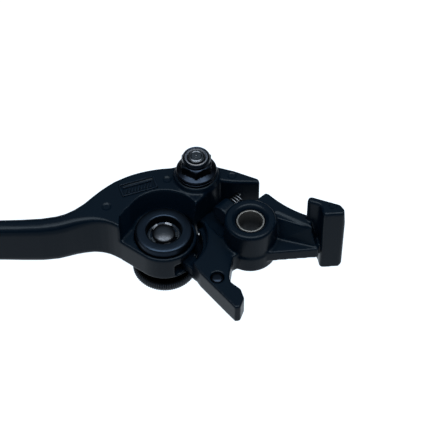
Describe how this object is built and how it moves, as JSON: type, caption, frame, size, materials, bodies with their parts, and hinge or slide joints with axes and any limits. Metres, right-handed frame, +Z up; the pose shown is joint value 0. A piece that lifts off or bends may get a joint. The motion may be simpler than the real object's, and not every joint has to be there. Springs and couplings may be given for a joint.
{
  "type": "clutch lever",
  "caption": "Handlebar clutch lever with a ball-ended blade, a push finger on its pivot boss, a knurled reach adjuster and a spring-loaded breakaway hinge.",
  "frame": {"origin": "on the axis of the pivot bore, halfway up the pivot boss", "axes": "+X along the lever from the blade's ball end towards the pad head, +Y away from the handlebar, +Z up along every hinge axis"},
  "size_m": [0.2008, 0.0565, 0.0382],
  "materials": {
    "painted_casting": "satin blue-black powder coat on an aluminium casting",
    "zinc_steel": "bright zinc plate",
    "black_steel": "blackened steel, slightly glossy",
    "anodised": "black anodised aluminium",
    "bronze": "sintered bronze",
    "nylon": "dark blue nylon"
  },
  "bodies": {
    "pivot": {"pivot_sleeve": "zinc_steel"},
    "actuator": {"actuator": "painted_casting", "hinge_bush": "bronze", "finger_pin": "black_steel", "return_spring": "zinc_steel"},
    "hinge": {"hinge_bolt": "zinc_steel", "hinge_nut": "black_steel", "nut_lock_ring": "nylon", "hinge_washer_top": "black_steel", "hinge_washer_bottom": "zinc_steel"},
    "lever": {"lever_arm": "painted_casting", "detent_ball": "zinc_steel", "detent_spring": "zinc_steel", "wave_washer": "zinc_steel"},
    "adjuster": {"adjuster_drum": "anodised", "adjuster_post": "zinc_steel", "star_clip": "zinc_steel", "adjuster_wheel": "anodised", "wheel_screw": "zinc_steel"}
  },
  "joints": [
    {"name": "lever_pull", "type": "hinge", "parent": "pivot", "child": "actuator", "pos_m": [0, 0, 0], "axis": [0, 0, 1], "range_deg": [0, 18]},
    {"name": "reach_adjust", "type": "hinge", "parent": "actuator", "child": "hinge", "pos_m": [-0.0182, 0.0186, 0], "axis": [0, 0, 1], "range_deg": [0, 5]},
    {"name": "push_away", "type": "hinge", "parent": "hinge", "child": "lever", "pos_m": [-0.0182, 0.0186, 0], "axis": [0, 0, 1], "range_deg": [-5, 0], "stiffness_Nm_per_rad": 0.6, "springref_deg": 1.15, "deforming": ["return_spring"]},
    {"name": "adjuster_turn", "type": "hinge", "parent": "lever", "child": "adjuster", "pos_m": [-0.0291, -0.0003, 0], "axis": [0, 0, 1], "range_deg": [0, 300]}
  ],
  "couplings": [
    {"joint": "reach_adjust", "follows": "adjuster_turn", "ratio": 0.016667}
  ]
}
